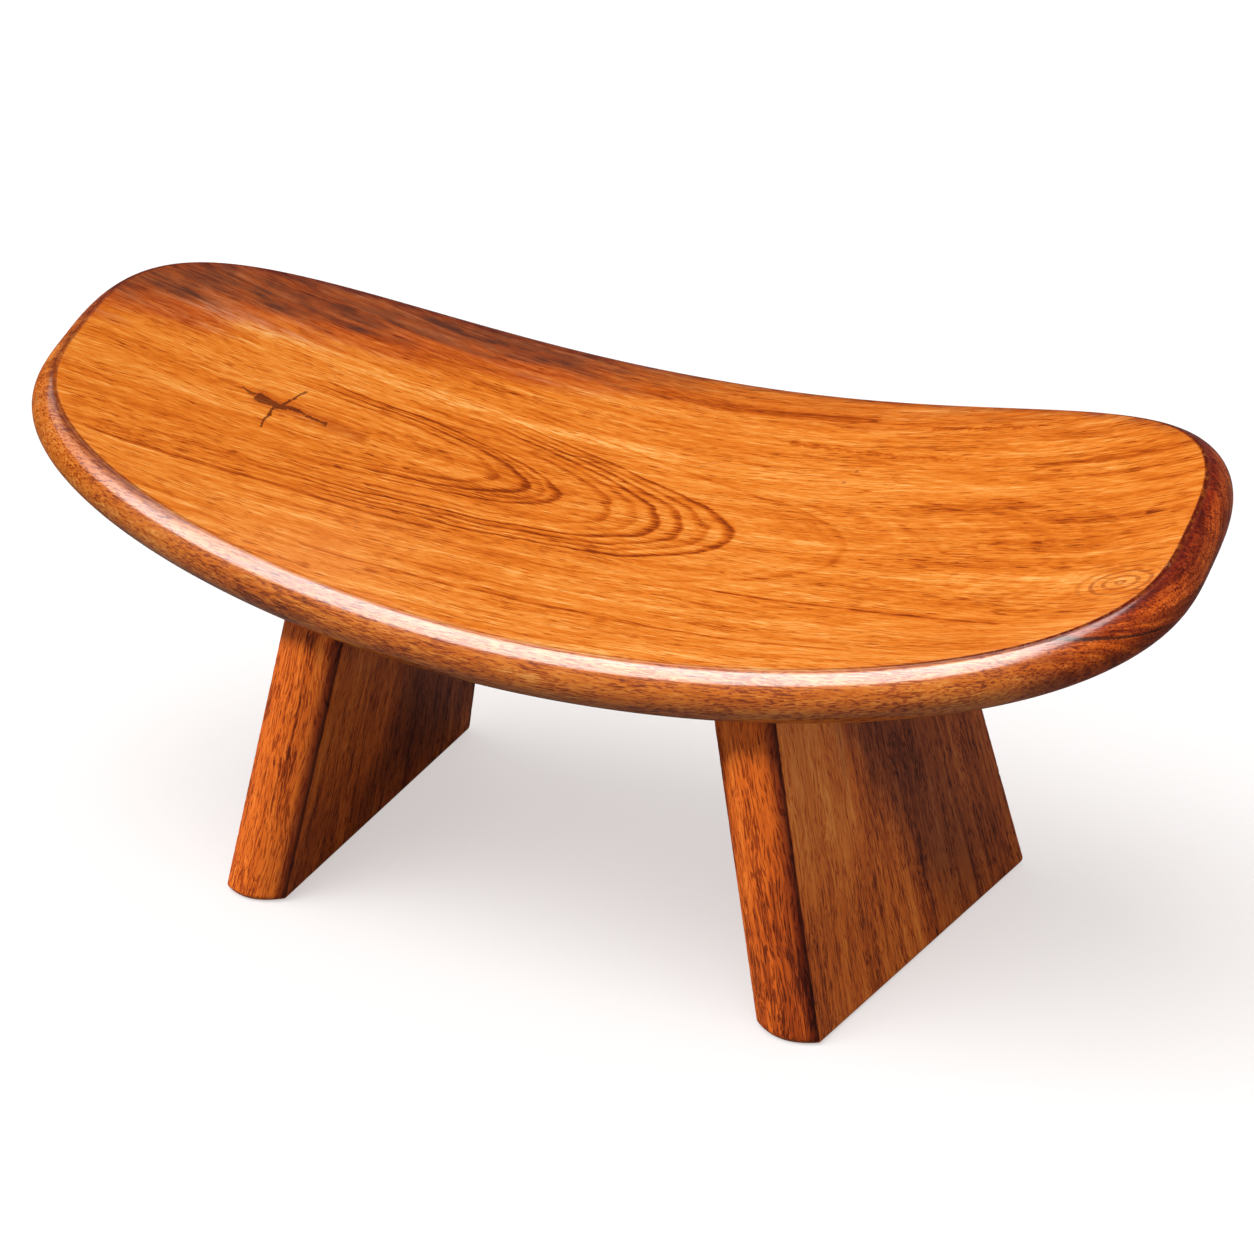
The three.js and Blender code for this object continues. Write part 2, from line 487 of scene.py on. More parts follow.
def streak_group():
    """A streak that keeps to one place across the grain, from one place along it to another."""
    tree, put, made = new_group(
        "ShaderNodeTree",
        "Streak",
        {"Along": 0.0, "Across": 0.0, "Level": 0.0, "Half width": 0.001, "From": 0.0, "To": 0.1,
         "Fade": 0.015},
        {"Mask": "Float"},
    )
    apart = value("ABSOLUTE", less(put["Across"], put["Level"]))
    line = between(value("DIVIDE", apart, put["Half width"]), 0.0, 1.0, 1.0, 0.0)
    begun = value("DIVIDE", less(put["Along"], put["From"]), put["Fade"])
    left = value("DIVIDE", less(put["To"], put["Along"]), put["Fade"])
    mask = times(line, between(begun, 0.0, 1.0), between(left, 0.0, 1.0))
    link(mask, made["Mask"])
    return tree


wood_grain = wood_grain_group()
drawn_line = drawn_line_group()
streak = streak_group()


def line_between(place, start, end, width, wander, softness):
    return in_group(drawn_line, {"Place": place}, Start=start, End=end, Width=width,
                    Wander=wander, Softness=softness)["Mask"]


def streaks_of(along, across, streaks):
    """All the streaks of a list as one change of tone: how much darker, or paler if below 0."""
    total = None
    for level, start, end, half_width, dark in streaks:
        mask = in_group(streak, {"Along": along, "Across": across}, Level=level,
                        Half_width=half_width, From=start, To=end)["Mask"]
        mask = times(mask, dark)
        total = mask if total is None else plus(total, mask)
    return total


def tone_ramp(tone, shades):
    """The wood's colour, from its darkest line at tone 0 to its palest streak at tone 1."""
    made = fed("ShaderNodeValToRGB", tone)
    stops = made.color_ramp.elements
    for _ in range(len(shades) - 2):
        stops.new(0.5)
    for stop, (place, shade) in zip(stops, shades):
        stop.position = place
        stop.color = (*shade, 1.0)
    return made.outputs[0]


# Figure of the seat's top face, in metres on the board: x along it, y across it.
grain_bow = 0.42  # the grain lines sag towards both ends
grain_bow_change = 1.5  # and sag more towards the front
grain_eased_past = 0.19  # but not past here, at the right end
eye_start = -0.1326  # the pith dips under the face here, at the left
eye_slope = 0.183
eye_line = (0.0007, -0.0095)  # where it lies across the grain, at the left and at the right
growth_rings = (  # distance from the pith, how dark
    (0.0098, 0.25),
    (0.0115, 0.25),
    (0.0151, 0.45),
    (0.0175, 1.0),
    (0.0188, 0.4),
    (0.0201, 0.85),
    (0.0245, 0.55),
    (0.0265, 0.45),
    (0.0283, 1.0),
    (0.0303, 0.9),
    (0.0321, 0.6),
    (0.0340, 1.0),
    (0.0426, 0.3),
)
ring_inner = 0.0010  # a ring's dark late wood fades inwards over this
ring_outer = 0.0004  # and stops short outside
top_streaks = (  # across the grain, from, to, half width, how much darker
    (-0.0620, -0.110, 0.130, 0.0010, 0.34),
    (-0.0560, -0.060, 0.060, 0.0014, 0.12),
    (-0.0388, 0.045, 0.185, 0.0008, 0.36),
    (-0.0465, 0.050, 0.072, 0.0008, 0.50),
    (-0.0355, -0.215, -0.045, 0.0013, 0.36),
    (-0.0420, -0.170, -0.020, 0.0020, 0.14),
    (0.0387, 0.150, 0.222, 0.0028, 0.30),
    (0.0307, 0.145, 0.225, 0.0026, 0.26),
    (0.0160, 0.110, 0.170, 0.0028, 0.34),
    (0.0092, 0.165, 0.232, 0.0028, 0.32),
    (0.0322, -0.205, 0.020, 0.0058, -0.23),
    (-0.0200, 0.120, 0.230, 0.0060, -0.14),
    (0.0240, 0.060, 0.200, 0.0060, -0.12),
    (0.0675, -0.030, 0.085, 0.0045, 0.30),
    (0.0500, -0.020, 0.110, 0.0016, 0.20),
)
back_strokes = (  # start, end, width
    ((0.050, 0.0490, 0), (0.125, 0.0368, 0), 0.0016),
    ((0.104, 0.0578, 0), (0.152, 0.0522, 0), 0.0014),
)
knot_strokes = (
    ((-0.1520, -0.0078, 0), (-0.1360, -0.0062, 0), 0.0038),
    ((-0.1435, -0.0060, 0), (-0.1380, 0.0040, 0), 0.0011),
    ((-0.1450, -0.0085, 0), (-0.1442, -0.0200, 0), 0.0012),
    ((-0.1510, -0.0075, 0), (-0.1620, -0.0070, 0), 0.0009),
    ((-0.1370, -0.0064, 0), (-0.1230, -0.0060, 0), 0.0012),
)
knot_halo = ((-0.152, -0.0075, 0), (-0.108, -0.0050, 0), 0.004)
small_dots = ((0.0840, 0.0325, 0), (0.0820, 0.0258, 0))
swirl_place = (0.2125, -0.0390, 0.0)
split_start, split_end = 0.1948, 0.2335  # a fine split that runs down round the right end
split_slope, split_curve = 0.10, 5.2  # how it leaves the arris, and how it turns down

# Colours of the seat, as the light they send back. A tint multiplies the wood's own colour.
seat_shades = (  # from the darkest line to the palest streak
    (0.0, (0.200, 0.030, 0.004)),
    (0.26, (0.430, 0.080, 0.006)),
    (0.52, (0.620, 0.156, 0.014)),
    (0.72, (0.700, 0.235, 0.036)),
    (1.0, (0.820, 0.430, 0.135)),
)
rust_tint = (0.64, 0.40, 0.8)
smoke_brown = (0.078, 0.027, 0.018)
back_rim_tint = (0.48, 0.36, 0.8)
knot_halo_tint = (0.66, 0.46, 0.5)
knot_brown = (0.105, 0.018, 0.006)
dot_brown = (0.28, 0.060, 0.014)
swirl_brown = (0.36, 0.075, 0.012)
arc_tint = (0.42, 0.26, 0.4)
fine_arc_tint = (0.45, 0.30, 0.4)
right_end_tint = (1.05, 0.72, 0.45)
# painted dark reflection just under the arris round the right end
right_dark_reflection_tint = (0.50, 0.26, 0.35)
# painted shade on the lower half of the moulding round the right end
low_edge_shade_tint = (0.52, 0.46, 0.9)
whorl_tint = (0.45, 0.32, 0.4)
split_brown = (0.030, 0.008, 0.004)
step_line_red = (0.13, 0.014, 0.006)
chip_gold = (0.62, 0.26, 0.08)
# painted dark, purplish reflection under the arris towards the left end
left_dark_reflection_tint = (0.34, 0.22, 0.5)


def seat_paint():
    material, tree, shader = new_shader("seat wood")
    place = named_place(tree, "board")
    x, y, height = parts_of(place)
    inward, outward, _ = parts_of(named_place(tree, "reach"))
    on_edge = between(outward, 0.0002, 0.0020)
    on_top = less(1.0, on_edge)

    # The grain's run, and the growth rings where the face cuts them.
    wander = drift(place, 0.070, 0.024, 0.0011)
    eased = value("SMOOTH_MIN", x, grain_eased_past, 0.05)
    bow = less(grain_bow, times(y, grain_bow_change))
    bow = times(bow, between(y, -0.072, -0.050, 0.4, 1.0))
    across = plus(y, times(bow, eased, eased), wander)
    straight = xyz(x, across, height)
    dip = times(less(x, eye_start), eye_slope)
    dip = less(value("SMOOTH_MAX", dip, 0.0, 0.006), times(height, 0.5))
    aside = less(across, between(x, -0.085, 0.055, *eye_line))
    ragged = drift(place, 0.0034, 0.0006, 0.00012)
    wobble = drift(place, 0.024, 0.009, 0.0004)
    pith = value("SQRT", plus(times(aside, aside), times(dip, dip)))
    pith = plus(pith, ragged, wobble)
    rings = []
    for radius, dark in growth_rings:
        late = between(pith, radius - ring_inner, radius, 0.0, dark)
        rings.append(times(late, between(pith, radius, radius + ring_outer, 1.0, 0.0)))
    ring = most(*rings)
    upper = between(aside, -0.003, 0.006)
    lower_left = between(x, -0.17, -0.065, 0.12, 1.0)
    outer_rings = between(pith, 0.0195, 0.0230)
    upper_left = mix_value(outer_rings, between(x, -0.150, -0.115), between(x, -0.085, -0.035))
    ring = times(ring, mix_value(upper, lower_left, upper_left))
    broken = noise(stretched(straight, 0.009, 0.0011), 3.0, 0.6)
    ring = times(ring, between(broken, 0.28, 0.56, 0.60, 1.1))

    # Tone: fibres, streaks and pores that follow the grain.
    grain = in_group(wood_grain, {"Place": straight}, Pore_length=0.0080, Pore_width=0.00042,
                     Pore_share=0.36)
    flecks = in_group(wood_grain, {"Place": place}, Pore_length=0.0042, Pore_width=0.00050,
                      Pore_share=0.50)
    side = between(aside, -0.006, 0.006, -4.0, 4.0)
    ringed = xyz(times(x, 1 / 0.055), times(pith, 1 / 0.0016), side)
    ring_streaks = noise(ringed, 3.0, 0.6)
    fine = noise(stretched(straight, 0.0065, 0.00048), 2.0, 0.6)
    tone = plus(
        0.57,
        swing(grain["Bands"], 0.13),
        swing(grain["Streaks"], 0.16),
        swing(grain["Fibres"], 0.18),
        swing(ring_streaks, 0.12),
        swing(fine, 0.18),
    )
    tone = less(tone, times(on_edge, between(x, -0.215, -0.180, 0.0, 0.12)))
    marks = streaks_of(x, across, top_streaks)
    marks = times(marks, between(broken, 0.25, 0.60, 0.3, 1.15), on_top)
    strokes = [line_between(place, *ends, 0.0012, 0.0008) for ends in back_strokes]
    marks = plus(marks, times(most(*strokes), 0.25))
    tone = less(tone, plus(times(ring, 0.52), marks))
    pores = mix_value(on_edge, grain["Pores"], flecks["Pores"])
    tone = less(tone, times(pores, 0.36))
    front_light = between(y, -0.035, -0.075, 0.0, 0.06)
    tone = plus(tone, front_light)

    wood = tone_ramp(tone, seat_shades)

    # Smoke-dark heartwood along the back, widest at the left.
    limit_left = less(0.066, times(x, x, 1.35))
    limit_right = less(0.070, times(x, x, 0.62))
    limit = mix_value(between(x, -0.02, 0.03), limit_left, limit_right)
    patchy = drift(straight, 0.045, 0.007, 0.0090, 3.0, 0.65)
    past = plus(less(y, limit), patchy)
    left_part = between(x, -0.07, 0.02, 1.0, 0.0)
    smoke = plus(times(left_part, 0.70), 0.30)
    smoke = times(between(past, -0.003, 0.012), smoke)
    rust = plus(times(left_part, 0.6), 0.2)
    rust = times(between(past, -0.015, 0.002), rust)
    mottled = noise(stretched(straight, 0.016, 0.0045), 3.0, 0.6)
    thin = times(between(grain["Streaks"], 0.34, 0.60, 1.0, 0.72),
                 between(mottled, 0.36, 0.62, 1.0, 0.62),
                 between(past, 0.010, 0.030, 1.0, 0.80))
    wood = tinted(rust, wood, rust_tint)
    wood = mix(times(smoke, thin), wood, smoke_brown)

    rim = times(between(inward, 0.968, 0.995), between(y, 0.015, 0.045))
    rim = times(rim, between(mottled, 0.3, 0.6, 1.0, 0.5))
    wood = tinted(rim, wood, back_rim_tint)

    # The dead knot, two small dots and the eye near the right end.
    knot = most(*[line_between(place, *ends, 0.0009, 0.0006) for ends in knot_strokes])
    halo = line_between(place, *knot_halo, 0.001, 0.004)
    wood = tinted(times(halo, 0.6), wood, knot_halo_tint)
    knot = times(knot, between(grain["Fibres"], 0.25, 0.75, 1.0, 0.78))
    wood = mix(times(knot, 0.95), wood, knot_brown)
    dots = []
    for dot in small_dots:
        dots.append(between(measure("DISTANCE", place, dot), 0.0004, 0.0011, 0.7, 0.0))
    wood = mix(most(*dots), wood, dot_brown)
    squeezed = vector("SUBTRACT", place, swirl_place)
    squeezed = vector("MULTIPLY", squeezed, (0.50, 1.0, 0.4))
    from_swirl = measure("LENGTH", squeezed)
    turns = plus(from_swirl, ragged, wobble)
    turns = value("SINE", times(turns, 2 * math.pi / 0.0023))
    swirl = times(between(from_swirl, 0.005, 0.0100, 1.0, 0.0),
                  between(turns, 0.0, 0.9), between(broken, 0.30, 0.60, 0.4, 1.0), on_top)
    wood = mix(times(swirl, 0.8), wood, swirl_brown)

    # The moulded edge: redder and darker round the right end, with painted shade and painted dark
    # reflections at its ends, and a dark line along the step under the top.
    right_end = times(on_edge, between(x, 0.180, 0.224))
    left_end = times(on_edge, between(x, -0.198, -0.228))
    arcs = xyz(times(pith, 1 / 0.0024), times(x, 1 / 0.03), 0.0)
    arcs = noise(arcs, 2.0, 0.6)
    cut = most(right_end, left_end)
    cut = less(cut, times(left_end, 0.6))
    wood = tinted(times(cut, between(arcs, 0.40, 0.60)), wood, arc_tint)
    fine_arcs = xyz(times(pith, 1 / 0.0009), times(x, 1 / 0.03), 4.0)
    fine_arcs = between(noise(fine_arcs, 2.0, 0.6), 0.45, 0.62)
    wood = tinted(times(cut, fine_arcs, 0.7), wood, fine_arc_tint)
    wood = tinted(right_end, wood, right_end_tint)
    # Painted reflection: a dark band just under the arris round the right end, where the polish
    # faces dark surroundings.
    below = plus(outward, swing(arcs, 0.0014))
    right_dark_reflection = between(below, 0.0022, 0.0060, 1.0, 0.0)
    right_dark_reflection = times(right_dark_reflection, between(height, -0.010, -0.007), right_end)
    wood = tinted(right_dark_reflection, wood, right_dark_reflection_tint)
    # Painted shade: the lower half of the moulding round the right end, which faces down.
    low_edge_shade = times(between(height, -0.0085, -0.0135), right_end)
    wood = tinted(times(low_edge_shade, 0.7), wood, low_edge_shade_tint)
    whorl = noise(stretched(place, 0.020, 0.0030), 2.0, 0.5, 1.6)
    whorl = times(between(whorl, 0.50, 0.60), between(x, -0.122, -0.108))
    whorl = times(whorl, between(x, -0.080, -0.070, 1.0, 0.0), on_edge)
    wood = tinted(times(whorl, 0.7), wood, whorl_tint)
    past_start = less(x, split_start)
    level = times(past_start, plus(split_slope, times(past_start, split_curve)))
    off_split = value("ABSOLUTE", plus(height, level, ragged, ragged))
    split = times(between(off_split, 0.00018, 0.00055, 1.0, 0.0), on_edge,
                  between(x, split_start, split_start + 0.002),
                  between(x, split_end - 0.003, split_end, 1.0, 0.0),
                  between(y, -0.030, -0.040))
    wood = mix(times(split, 0.85), wood, split_brown)
    tear = noise(stretched(place, 0.0040, 0.0040), 3.0, 0.7)
    step = times(between(inward, 0.9955, 0.9985), between(outward, 0.0008, 0.0024, 1.0, 0.0))
    # A ragged dark red line along the step under the top, strongest round the right end.
    step_line = plus(between(x, 0.10, 0.19, 0.22, 1.0), between(x, -0.12, -0.19, 0.0, 0.55))
    step_line = times(step, step_line, between(tear, 0.38, 0.55, 0.7, 1.0))
    wood = mix(step_line, wood, step_line_red)
    chip = times(step, between(tear, 0.62, 0.67), between(x, 0.10, 0.20))
    wood = mix(times(chip, 0.3), wood, chip_gold)
    # Painted reflection: a dark purplish band under the arris towards the left end, where the
    # polish faces dark surroundings.
    left_dark_reflection = times(between(outward, 0.0005, 0.0050, 1.0, 0.0), on_edge,
                   between(height, -0.010, -0.006), between(x, -0.10, -0.19))
    left_dark_reflection = times(left_dark_reflection, between(arcs, 0.35, 0.6, 0.6, 1.0))
    wood = tinted(left_dark_reflection, wood, left_dark_reflection_tint)

    link(wood, shader["Base Color"])
    dull = plus(0.34, times(pores, 0.25), swing(grain["Streaks"], 0.04))
    link(dull, shader["Roughness"])
    polish = times(on_edge, between(x, -0.205, -0.150, 0.15, 1.0),
                   between(x, 0.185, 0.215, 1.0, 0.4))
    link(times(polish, 0.3), shader["Specular IOR Level"])
    link(plus(times(polish, 0.96), 0.04), shader["Coat Weight"])
    shine = plus(0.155, swing(grain["Streaks"], 0.05), swing(flecks["Streaks"], 0.03))
    link(shine, shader["Coat Roughness"])
    relief = less(times(mix_value(on_edge, grain["Fibres"], 0.5), 0.3),
                  plus(times(pores, 0.6), knot, split))
    bumped(relief, 0.4, shader)
    return material


seat = profile_object("seat_slab", seat_profile())
seat_wood = seat_paint()
slab = seat.modifiers.new("slab", "NODES")
slab.node_group = slab_group()
modifier_inputs(slab, Steps=seat_steps, Material=seat_wood)
seat = as_plain_mesh(seat, "seat_slab")

# The legs: two thick panels of the same hardwood, grain upright, wider at the foot. Each leans in,
# its front and back edges are planed to a shallow round, and its top is scribed to the seat.
leg_thickness = 0.0262
foot_depth = 0.164
foot_spacing = 0.2414
foot_set_back = 0.0099
leg_splay = math.radians(12.7)
leg_toe = math.radians(4.6)
front_lean = math.radians(5)
back_lean = math.radians(10.4)
leg_edge_bulge = 0.005
foot_round = 0.0029
joint_gap = 0.0003
ridge_softness = 0.0003  # the four upright ridges, at their crispest
ridge_wear = 0.0009  # and what wear and small chips add
wear_waves, chip_waves = 160, 620  # in a metre
worn_height = 0.12  # wear is drawn as if a leg were this high

ridge_points = 5
arc_points = 15
side_points = 48
leg_rows = 110
foot_rows = 6
cap_rings = 5
sharp_from = math.radians(40)


def saddle(x, y):
    """Height of the seat's top over a point of the floor."""
    reach = (x / seat_half_length) ** 2
    slope = math.tan(seat_pitch) * (1 - reach) + math.tan(seat_end_pitch) * reach
    return seat_height + saddle_rise * reach + (y - seat_line_y) * slope


def leg_outline(height, side, wear=ridge_wear):
    """The panel's level section before it leans: points (across, depth) once round, the ridges
    worn by an amount that changes with the height."""
    half_thickness, half_depth = leg_thickness / 2, foot_depth / 2
    points = []
    for turn, (u_sign, v_sign) in enumerate(((-1, -1), (1, -1), (1, 1), (-1, 1))):
        rough = wander_noise.noise(Vector((height * wear_waves, turn * 7.3, side * 3.1)))
        chip = wander_noise.noise(Vector((height * chip_waves, turn * 4.1, side * 9.7)))
        soft = ridge_softness + wear * (max(rough, 0) * 0.6 + max(chip - 0.25, 0) * 1.6)
        corner = Vector((half_thickness * u_sign, half_depth * v_sign))
        on_side = corner - Vector((0, soft * v_sign))
        slope = 2 * leg_edge_bulge / half_thickness
        on_edge = corner + Vector((-soft * u_sign, soft * slope * v_sign))
        first, last = (on_side, on_edge) if turn % 2 == 0 else (on_edge, on_side)
        for i in range(ridge_points):
            s = i / (ridge_points - 1)
            points.append(first * (1 - s) ** 2 + corner * (2 * s * (1 - s)) + last * s**2)
        if turn % 2 == 0:
            for i in range(1, arc_points):
                u = (half_thickness - soft) * u_sign * (1 - 2 * i / arc_points)
                bulge = leg_edge_bulge * (1 - (u / half_thickness) ** 2)
                points.append(Vector((u, (half_depth + bulge) * v_sign)))
        else:
            for i in range(1, side_points):
                v = (half_depth - soft) * v_sign * (1 - 2 * i / side_points)
                points.append(Vector((half_thickness * u_sign, v)))
    return points


def leg_frame(side):
    """Where the panel's foot stands, and how far it is turned."""
    stands = Matrix.Translation((side * foot_spacing / 2, seat_line_y + foot_set_back, 0))
    return stands @ Matrix.Rotation(-side * leg_toe, 4, "Z")


def leaned(u, v, height, side):
    """Where a point of the straight panel lies once the panel leans and tapers."""
    half_depth = foot_depth / 2
    share = min(max((v / half_depth + 1) / 2, 0), 1)
    lean = (1 - share) * math.tan(front_lean) - share * math.tan(back_lean)
    return Vector((u - side * height * math.tan(leg_splay), v + height * lean, height))


def leg_top(u, v, side, frame_matrix):
    """How high a line up the panel meets the seat's underside, closer with each try."""
    height = seat_height
    for _ in range(12):
        point = frame_matrix @ leaned(u, v, height, side)
        height = saddle(point.x, point.y) - seat_thickness - joint_gap
    return height


def leg_mesh(side, name):
    frame_matrix = leg_frame(side)
    points, straight = [], []

    def add(u, v, height):
        points.append(frame_matrix @ leaned(u, v, height, side))
        straight.append((height, v, u))

    half_thickness, half_depth = leg_thickness / 2, foot_depth / 2
    longest = half_depth - half_thickness
    spine = [min(max(v, -longest), longest) for _, v in leg_outline(0.0, side, 0.0)]
    count = len(spine)

    def cap(outline, share, height_of):
        for (u, v), spine_v in zip(outline, spine):
            cu, cv = u * (1 - share), v + (spine_v - v) * share
            add(cu, cv, height_of(cu, cv))

    foot = [(u * (1 - foot_round / half_thickness), v * (1 - foot_round / half_depth))
            for u, v in leg_outline(0.0, side)]
    for i in range(cap_rings, 0, -1):
        cap(foot, i / cap_rings, lambda u, v: 0.0)
    for i in range(foot_rows):
        angle = math.pi / 2 * i / foot_rows
        height = foot_round * (1 - math.cos(angle))
        inset = foot_round * (1 - math.sin(angle))
        for u, v in leg_outline(height, side):
            add(u * (1 - inset / half_thickness), v * (1 - inset / half_depth), height)
    tops = [leg_top(u, v, side, frame_matrix) for u, v in leg_outline(worn_height, side)]
    for i in range(leg_rows + 1):
        share = i / leg_rows
        for k, (u, v) in enumerate(leg_outline(foot_round + share * worn_height, side)):
            add(u, v, foot_round + (tops[k] - foot_round) * share)
    top_outline = leg_outline(foot_round + worn_height, side)
    for i in range(1, cap_rings + 1):
        cap(top_outline, i / cap_rings, lambda u, v: leg_top(u, v, side, frame_matrix))
    rings = len(points) // count
    faces = []
    for row in range(rings - 1):
        for k in range(count):
            after = (k + 1) % count
            start = row * count
            faces.append((start + k, start + after, start + count + after, start + count + k))
    made = mesh_object(name, points, faces)
    board = made.data.attributes.new("board", "FLOAT_VECTOR", "POINT")
    board.data.foreach_set("vector", np.array(straight, dtype=np.float32).ravel())
    shape = bmesh.new()
    shape.from_mesh(made.data)
    bmesh.ops.remove_doubles(shape, verts=shape.verts, dist=weld_distance)
    bmesh.ops.recalc_face_normals(shape, faces=shape.faces)
    shape.to_mesh(made.data)
    shape.free()
    return made


# Figure of each leg, in metres on the panel: up it, from its front to its back, and across it.
front_streaks = {  # across the front, from, to, half width, how much darker
    1: (
        (-0.0125, 0.050, 0.115, 0.0012, 0.40),
        (-0.0040, 0.020, 0.100, 0.0012, 0.14),
        (0.0045, 0.030, 0.125, 0.0016, 0.12),
    ),
    -1: (
        (0.0005, 0.030, 0.150, 0.0008, 0.34),
        (0.0030, 0.045, 0.150, 0.0009, 0.30),
        (-0.0110, 0.070, 0.092, 0.0022, 0.40),
        (0.0070, 0.000, 0.150, 0.0024, -0.14),
    ),
}
smoke_core = (0.056, 0.020)  # up the right leg's outer face, and from front to back
# The dark heartwood's front: how far before the middle it runs, at what height, and its slope.
heart_line = {1: (0.030, 0.080, -0.513), -1: (0.020, 0.040, 0.30)}
golden_patch = {1: 0.30, -1: 0.06}  # how much paler the front of a face is
front_painted_light = {1: 0.04, -1: 0.12}  # painted light: how much paler the front edge is made, most on the left leg, as if more light fell on it

# Colours of the legs.
leg_shades = (
    (0.0, (0.100, 0.016, 0.004)),
    (0.28, (0.300, 0.050, 0.007)),
    (0.52, (0.540, 0.110, 0.012)),
    (0.75, (0.660, 0.165, 0.020)),
    (1.0, (0.780, 0.270, 0.050)),
)
leg_smoke_tint = (0.36, 0.36, 0.8)
front_tint = (1.42, 1.27, 1.1)
face_tint = (1.14, 1.12, 1.1)
# painted shade along the right ridge of each front edge, where it turns away from the light
ridge_shade_tint = (0.26, 0.14, 0.3)
ridge_line_shade_tint = (0.20, 0.20, 0.35)
foot_gold = (0.55, 0.20, 0.06)


def leg_paint(side, side_name):
    material, tree, shader = new_shader(f"{side_name} leg wood")
    place = named_place(tree, "board")
    height, depth, across = parts_of(place)
    front = between(depth, -foot_depth / 2 + 0.0002, -foot_depth / 2 - 0.0003)
    face = less(1.0, front)
    slow = drift(place, 0.05, 0.016, 0.0024)
    drawn = xyz(height, plus(depth, slow, side * 0.37), plus(across, slow))
    grain = in_group(wood_grain, {"Place": drawn}, Fibre_length=0.016, Fibre_width=0.0008,
                     Pore_length=0.0060, Pore_width=0.00052, Pore_share=0.50)
    tone = plus(
        0.54,
        swing(grain["Bands"], 0.20),
        swing(grain["Streaks"], 0.22),
        swing(grain["Fibres"], 0.18),
    )
    marks = plus(across, times(slow, 0.5))
    marks = streaks_of(height, marks, front_streaks[side])
    tone = less(tone, times(marks, front))
    tone = less(tone, times(grain["Pores"], 0.34))
    low = times(between(height, 0.070, 0.020), front if side > 0 else face)
    tone = less(tone, times(low, 0.14))
    golden = times(between(depth, -0.010, -0.050), between(height, 0.030, 0.070), face)
    tone = plus(tone, times(golden, golden_patch[side]))
    # Painted light: the front edge made paler, most on the left leg.
    tone = plus(tone, times(front, front_painted_light[side]))
    wood = tone_ramp(tone, leg_shades)

    # Smoke-dark heartwood behind a line up each face, deepest round a core.
    ahead, level, slope = heart_line[side]
    line = less(plus(depth, ahead), times(less(height, level), slope))
    line = plus(line, drift(place, 0.05, 0.009, 0.012, 3.0, 0.6))
    up, back = smoke_core
    from_core = plus(times(less(depth, back), 0.8), times(less(height, up), 0.4))
    core = between(value("ABSOLUTE", from_core), 0.0, 0.035, 1.0, 0.0)
    smoke = times(between(line, -0.010, 0.022), face)
    deep = plus(times(core, 0.30), 0.62)
    bottom = between(height, 0.0, 0.030, 0.65, 1.0)
    wood = tinted(times(smoke, deep, bottom), wood, leg_smoke_tint)

    # The front edge, painted shade along its right ridge, and the pale rim round the foot.
    wood = tinted(front, wood, front_tint)
    wood = tinted(face, wood, face_tint)
    # Painted shade: a dark band and a near-black line where the front edge rounds over to the
    # right, away from the key light.
    ridge_shade_band = between(plus(across, times(slow, 0.15)), 0.0078, 0.0112)
    wood = tinted(times(front, ridge_shade_band, 0.85), wood, ridge_shade_tint)
    ridge_shade_line = between(across, 0.0108, 0.0126)
    wood = tinted(times(front, ridge_shade_line, 0.9), wood, ridge_line_shade_tint)
    rim = between(height, 0.0008, 0.0022, 0.5, 0.0)
    wood = mix(rim, wood, foot_gold)
    link(wood, shader["Base Color"])
    dull = plus(0.40, times(grain["Pores"], 0.2))
    link(dull, shader["Roughness"])
    shader["Specular IOR Level"].default_value = 0.15
    shader["Coat Weight"].default_value = 0.1
    shader["Coat Roughness"].default_value = 0.2
    relief = less(times(grain["Fibres"], 0.35), times(grain["Pores"], 0.65))
    bumped(relief, 0.5, shader)
    return material


legs = {}
for side, side_name in ((1, "right"), (-1, "left")):
    panel = leg_mesh(side, f"leg_panel_{side_name}")
    panel.data.materials.append(leg_paint(side, side_name))
    panel.data.shade_smooth()
    panel.data.set_sharp_from_angle(angle=sharp_from)
    legs[side_name] = panel

# The dowels: six fluted pins of pale hardwood, three glued in blind holes across each joint
# between leg and seat. They sit along the leg's middle plane and lean with it.
dowel_diameter = 0.010
dowel_length = 0.038
dowel_in_seat = 0.011
dowel_chamfer = 0.001
dowel_pitch = 0.042
dowel_gap = 0.0002
hole_end_gap = 0.001
hole_diameter = dowel_diameter + 2 * dowel_gap
hole_length = dowel_length + 2 * hole_end_gap
dowel_flutes = 16
flute_depth = 0.0004
dowel_steps = 128
dowel_shades = ((0.0, (0.33, 0.18, 0.08)), (0.5, (0.58, 0.38, 0.20)), (1.0, (0.74, 0.55, 0.33)))


def dowel_group():
    """Turns a pin's profile and cuts flutes along it."""
    tree, size, made = new_group(
        "GeometryNodeTree",
        "Fluted dowel",
        {"Profile": "Geometry", "Flutes": float(dowel_flutes), "Flute depth": flute_depth,
         "Steps": dowel_steps, "Material": "Material"},
        {"Dowel": "Geometry"},
    )
    grid, turn, (radius, _, height) = swept(tree, size["Profile"], size["Steps"])
    angle = times(turn, 2 * math.pi)
    wave = value("COSINE", times(angle, size["Flutes"]))
    groove = value("POWER", value("MULTIPLY_ADD", wave, 0.5, 0.5), 3.0)
    outer = value("GREATER_THAN", radius, dowel_diameter / 4)
    cut = times(times(groove, size["Flute depth"]), outer)
    radius = less(radius, cut)
    x = times(radius, value("COSINE", angle))
    y = times(radius, value("SINE", angle))
    grid = stored(grid, "board", xyz(height, x, y))
    skin = closed_skin(grid, xyz(x, y, height), size["Material"])
    link(skin, made["Dowel"])
    return tree


